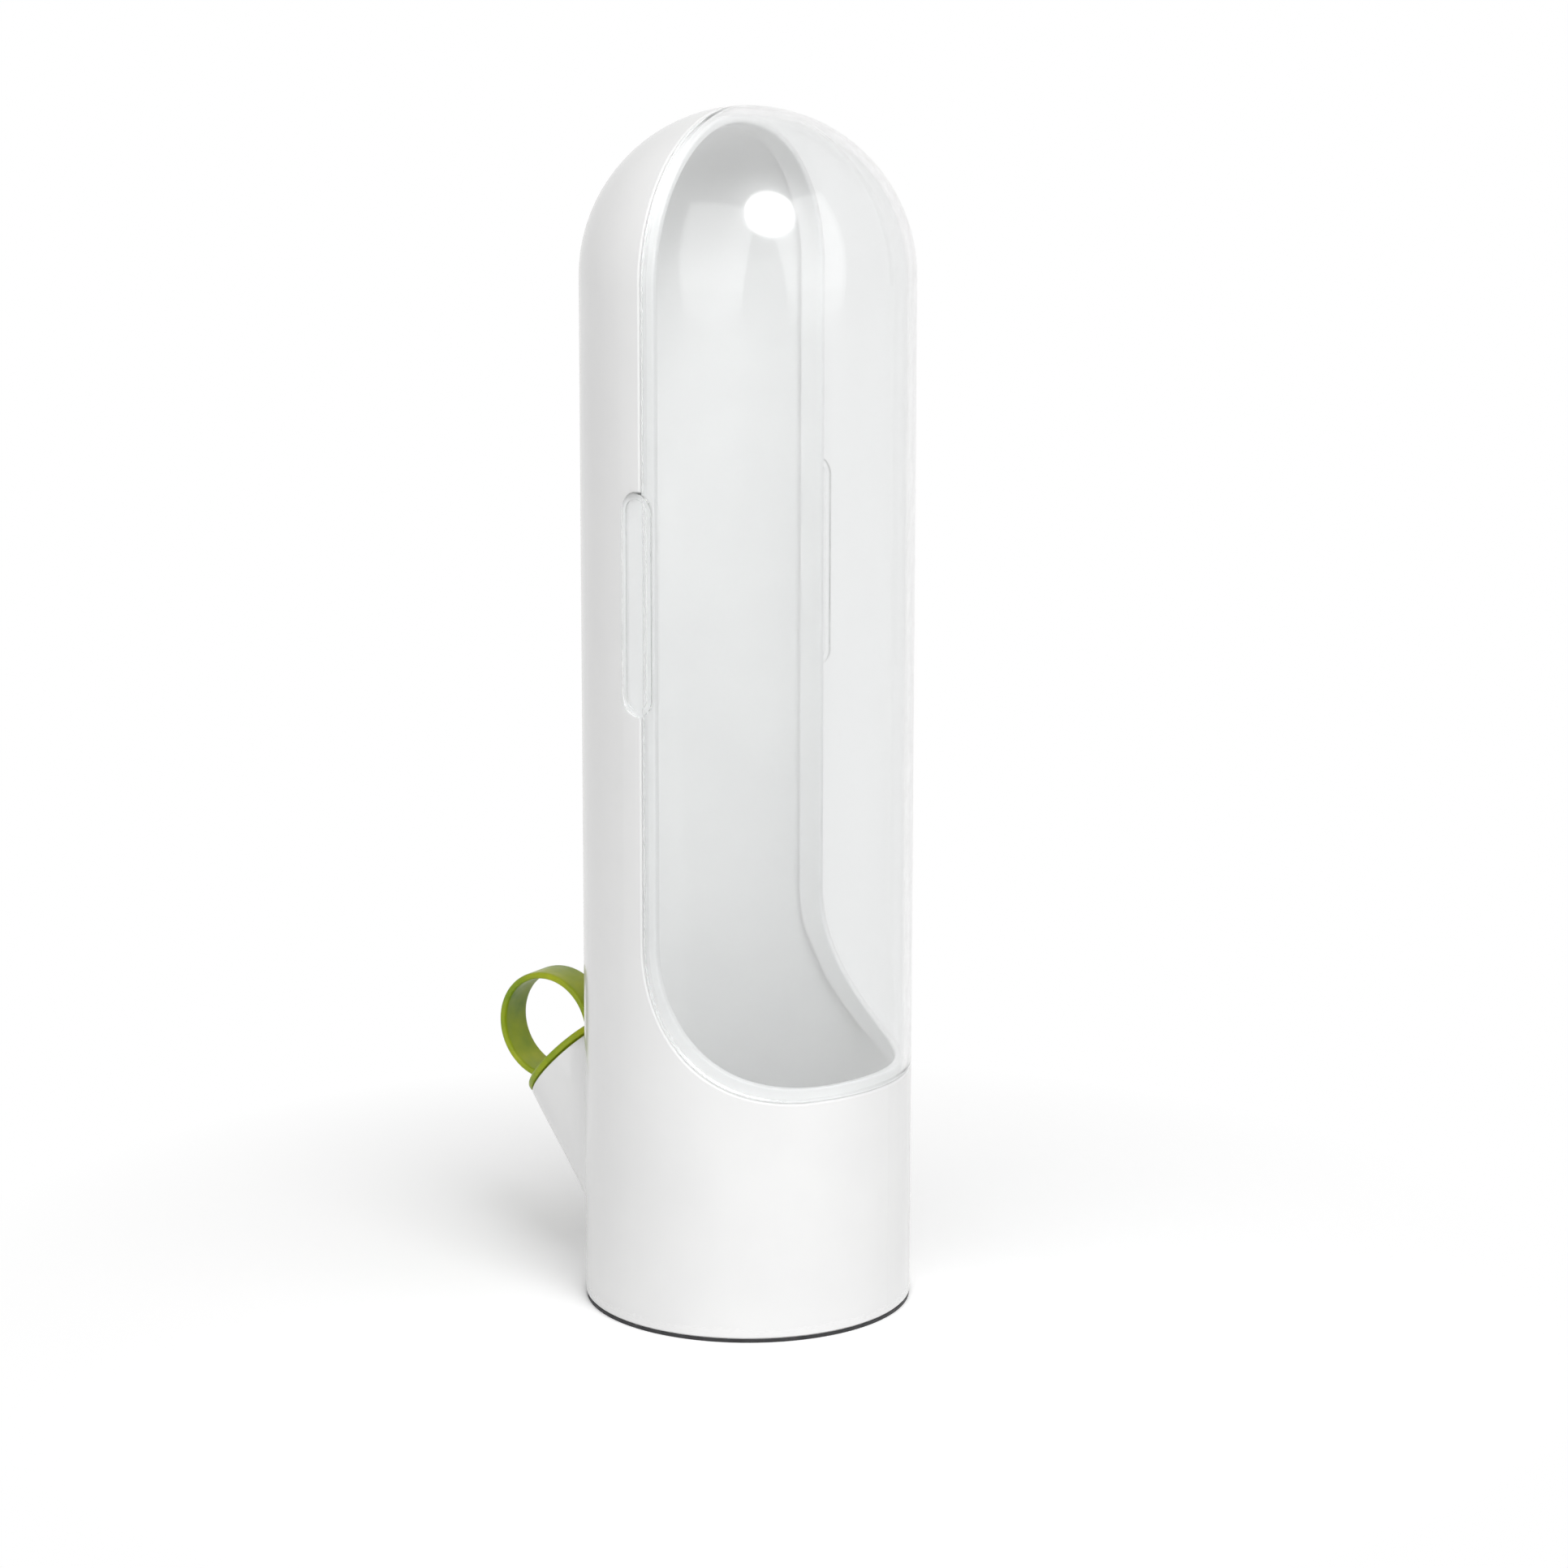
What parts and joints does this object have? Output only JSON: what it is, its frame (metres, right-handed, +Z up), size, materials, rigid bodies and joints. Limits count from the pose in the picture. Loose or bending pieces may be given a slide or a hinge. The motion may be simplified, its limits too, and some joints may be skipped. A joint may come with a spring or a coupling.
{
  "type": "herb keeper",
  "caption": "Tall capsule-shaped keeper with a clear pull-off front, a flared refill spout with a stopper on a pull loop, and a twist-off floor.",
  "frame": {"origin": "middle of the underside, on the surface that the keeper stands on and on the axis of the capsule", "axes": "+Z up along the capsule; +X towards the clear front, which pulls off that way; the spout is at -X"},
  "size_m": [0.106, 0.0772, 0.276],
  "materials": {
    "white_plastic": "gloss white moulded plastic",
    "clear_plastic": "clear moulded plastic with a faint grey tint",
    "green_silicone": "satin yellow-green silicone",
    "dark_rubber": "matte dark grey rubber"
  },
  "bodies": {
    "shell": {"body_shell": "white_plastic", "foot_ring": "dark_rubber"},
    "cover": {"clear_cover": "clear_plastic"},
    "plug": {"refill_plug": "green_silicone"},
    "floor": {"base_cap": "white_plastic", "base_seal": "dark_rubber"}
  },
  "joints": [
    {"name": "cover_pull", "type": "slide", "parent": "shell", "child": "cover", "axis": [1, 0, 0], "range_m": [0, 0.06]},
    {"name": "plug_pull", "type": "slide", "parent": "shell", "child": "plug", "axis": [-0.7431, 0, 0.6691], "range_m": [0, 0.03]},
    {"name": "floor_twist", "type": "hinge", "parent": "shell", "child": "floor", "pos_m": [0, 0, 0], "axis": [0, 0, 1], "range_deg": [0, 60]}
  ]
}
